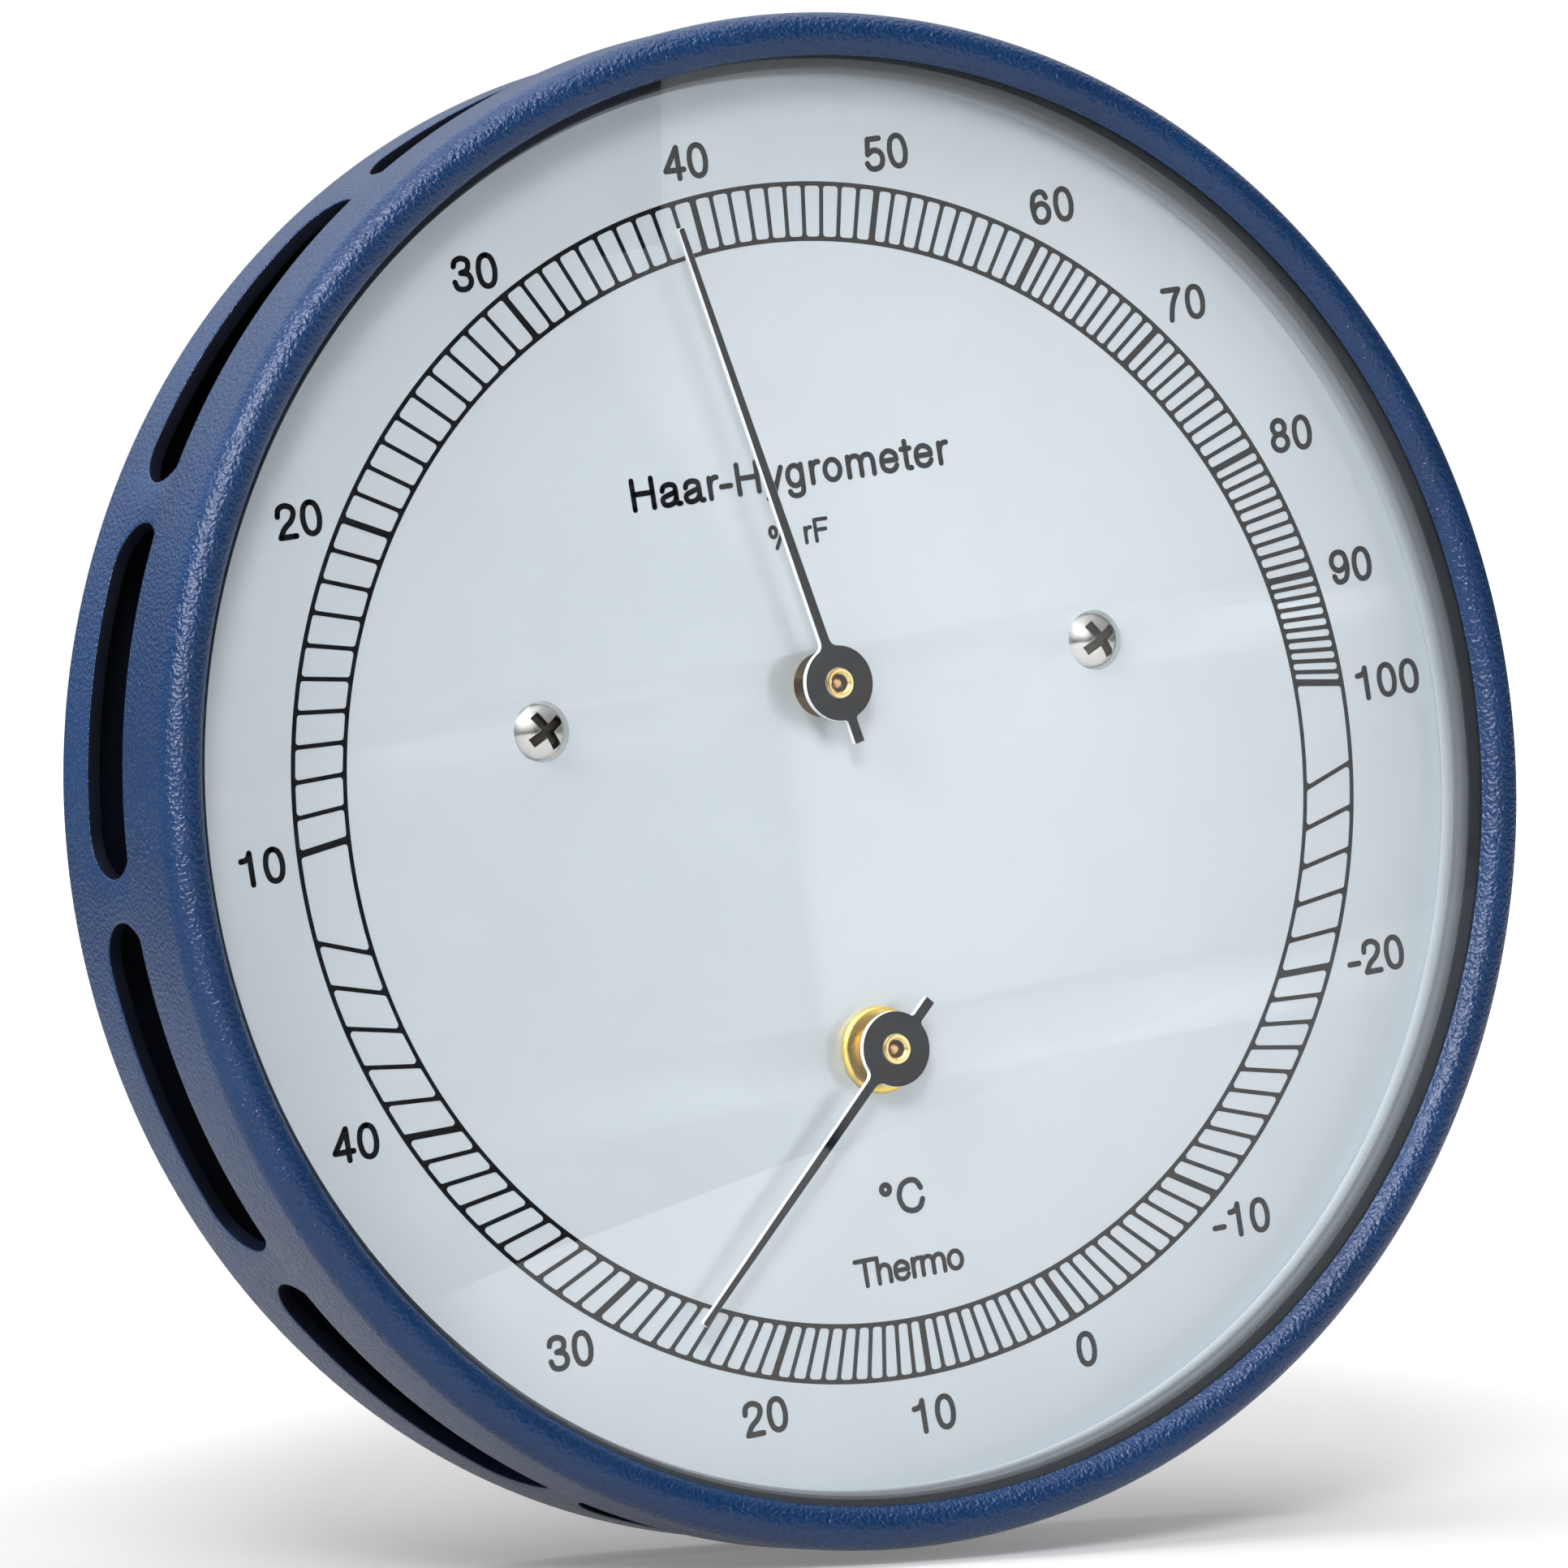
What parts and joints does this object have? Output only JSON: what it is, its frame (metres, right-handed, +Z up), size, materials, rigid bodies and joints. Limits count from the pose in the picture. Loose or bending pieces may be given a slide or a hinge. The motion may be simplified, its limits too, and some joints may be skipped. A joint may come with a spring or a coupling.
{
  "type": "hair hygrometer",
  "caption": "Round wall-hung hair hygrometer in a vented can, with a second pointer for a bimetal thermometer behind one glass.",
  "frame": {"origin": "on the case's axis, in the outer face of the rear wall, which lies on the wall that the instrument hangs on", "axes": "+Z up, the dial faces -Y, and +X points to the right as seen from the front"},
  "size_m": [0.1031, 0.0189, 0.103],
  "materials": {
    "blue_paint": "fine-grained satin lacquer on sheet steel",
    "glass": "clear float glass",
    "gasket": "matte black",
    "grey_ring": "matte grey",
    "dial": "matte silver-white lacquer",
    "steel": "bright nickel plating",
    "brass": "turned or sheared brass",
    "spring_bronze": "rolled bronze strip",
    "bimetal": "rolled strip",
    "pointer_black": "matte black with bare cut edges",
    "hair": "bundle of long light-brown hair"
  },
  "bodies": {
    "case": {"case_shell": "blue_paint", "bezel_ring": "blue_paint", "glass": "glass", "glass_gasket": "gasket", "spacer_ring": "grey_ring", "dial_seat_ring": "grey_ring", "dial_plate": "dial", "dial_screws": "steel", "dial_pillars": "brass", "front_plate": "brass", "plate_pillars": "brass", "plate_screws": "steel", "back_plate": "brass", "case_studs": "steel", "stud_nuts": "steel", "hairspring": "spring_bronze", "hairspring_stud": "brass", "hair_bundle": "hair", "lever_pivot": "steel", "thermo_bush": "brass", "thermo_carrier": "brass", "thermo_nut": "brass", "bimetal_spiral": "bimetal"},
    "hygro_spindle": {"hygro_arbor": "steel", "hygro_pinion": "brass", "hygro_pointer": "pointer_black", "hygro_pointer_bush": "brass", "hairspring_collet": "brass"},
    "hair_sector": {"sector": "brass", "sector_arbor": "steel", "sector_hair_clip": "steel"},
    "thermo_spindle": {"thermo_arbor": "steel", "bimetal_collet": "brass", "thermo_pointer": "pointer_black", "thermo_pointer_bush": "brass"},
    "hair_lever": {"adjusting_lever": "brass", "lever_hair_clip": "steel"},
    "eccentric_screw": {"adjusting_screw": "steel"}
  },
  "joints": [
    {"name": "sector_rock", "type": "hinge", "parent": "case", "child": "hair_sector", "pos_m": [0.0175, -0.0067, 0.01456], "axis": [0, -1, 0], "range_deg": [-8.9, 11.3], "deforming": ["hair_bundle"]},
    {"name": "hygro_pointer_turn", "type": "hinge", "parent": "case", "child": "hygro_spindle", "pos_m": [0, -0.0067, 0.00655], "axis": [0, -1, 0], "range_deg": [-114, 90], "deforming": ["hairspring"]},
    {"name": "thermo_pointer_turn", "type": "hinge", "parent": "case", "child": "thermo_spindle", "pos_m": [0, -0.016, -0.0183], "axis": [0, -1, 0], "range_deg": [-57, 152.8], "deforming": ["bimetal_spiral"]},
    {"name": "adjusting_screw_turn", "type": "hinge", "parent": "case", "child": "eccentric_screw", "pos_m": [-0.038, -0.0035, -0.00599], "axis": [0, -1, 0], "range_deg": [-35, 35]},
    {"name": "adjusting_lever_tilt", "type": "hinge", "parent": "case", "child": "hair_lever", "pos_m": [-0.038, -0.0055, 0.00151], "axis": [0, -1, 0], "range_deg": [-4.3, 4.3], "deforming": ["hair_bundle"]}
  ],
  "couplings": [
    {"joint": "hygro_pointer_turn", "follows": "sector_rock", "ratio": -10},
    {"joint": "adjusting_lever_tilt", "follows": "adjusting_screw_turn", "ratio": -0.1194}
  ]
}
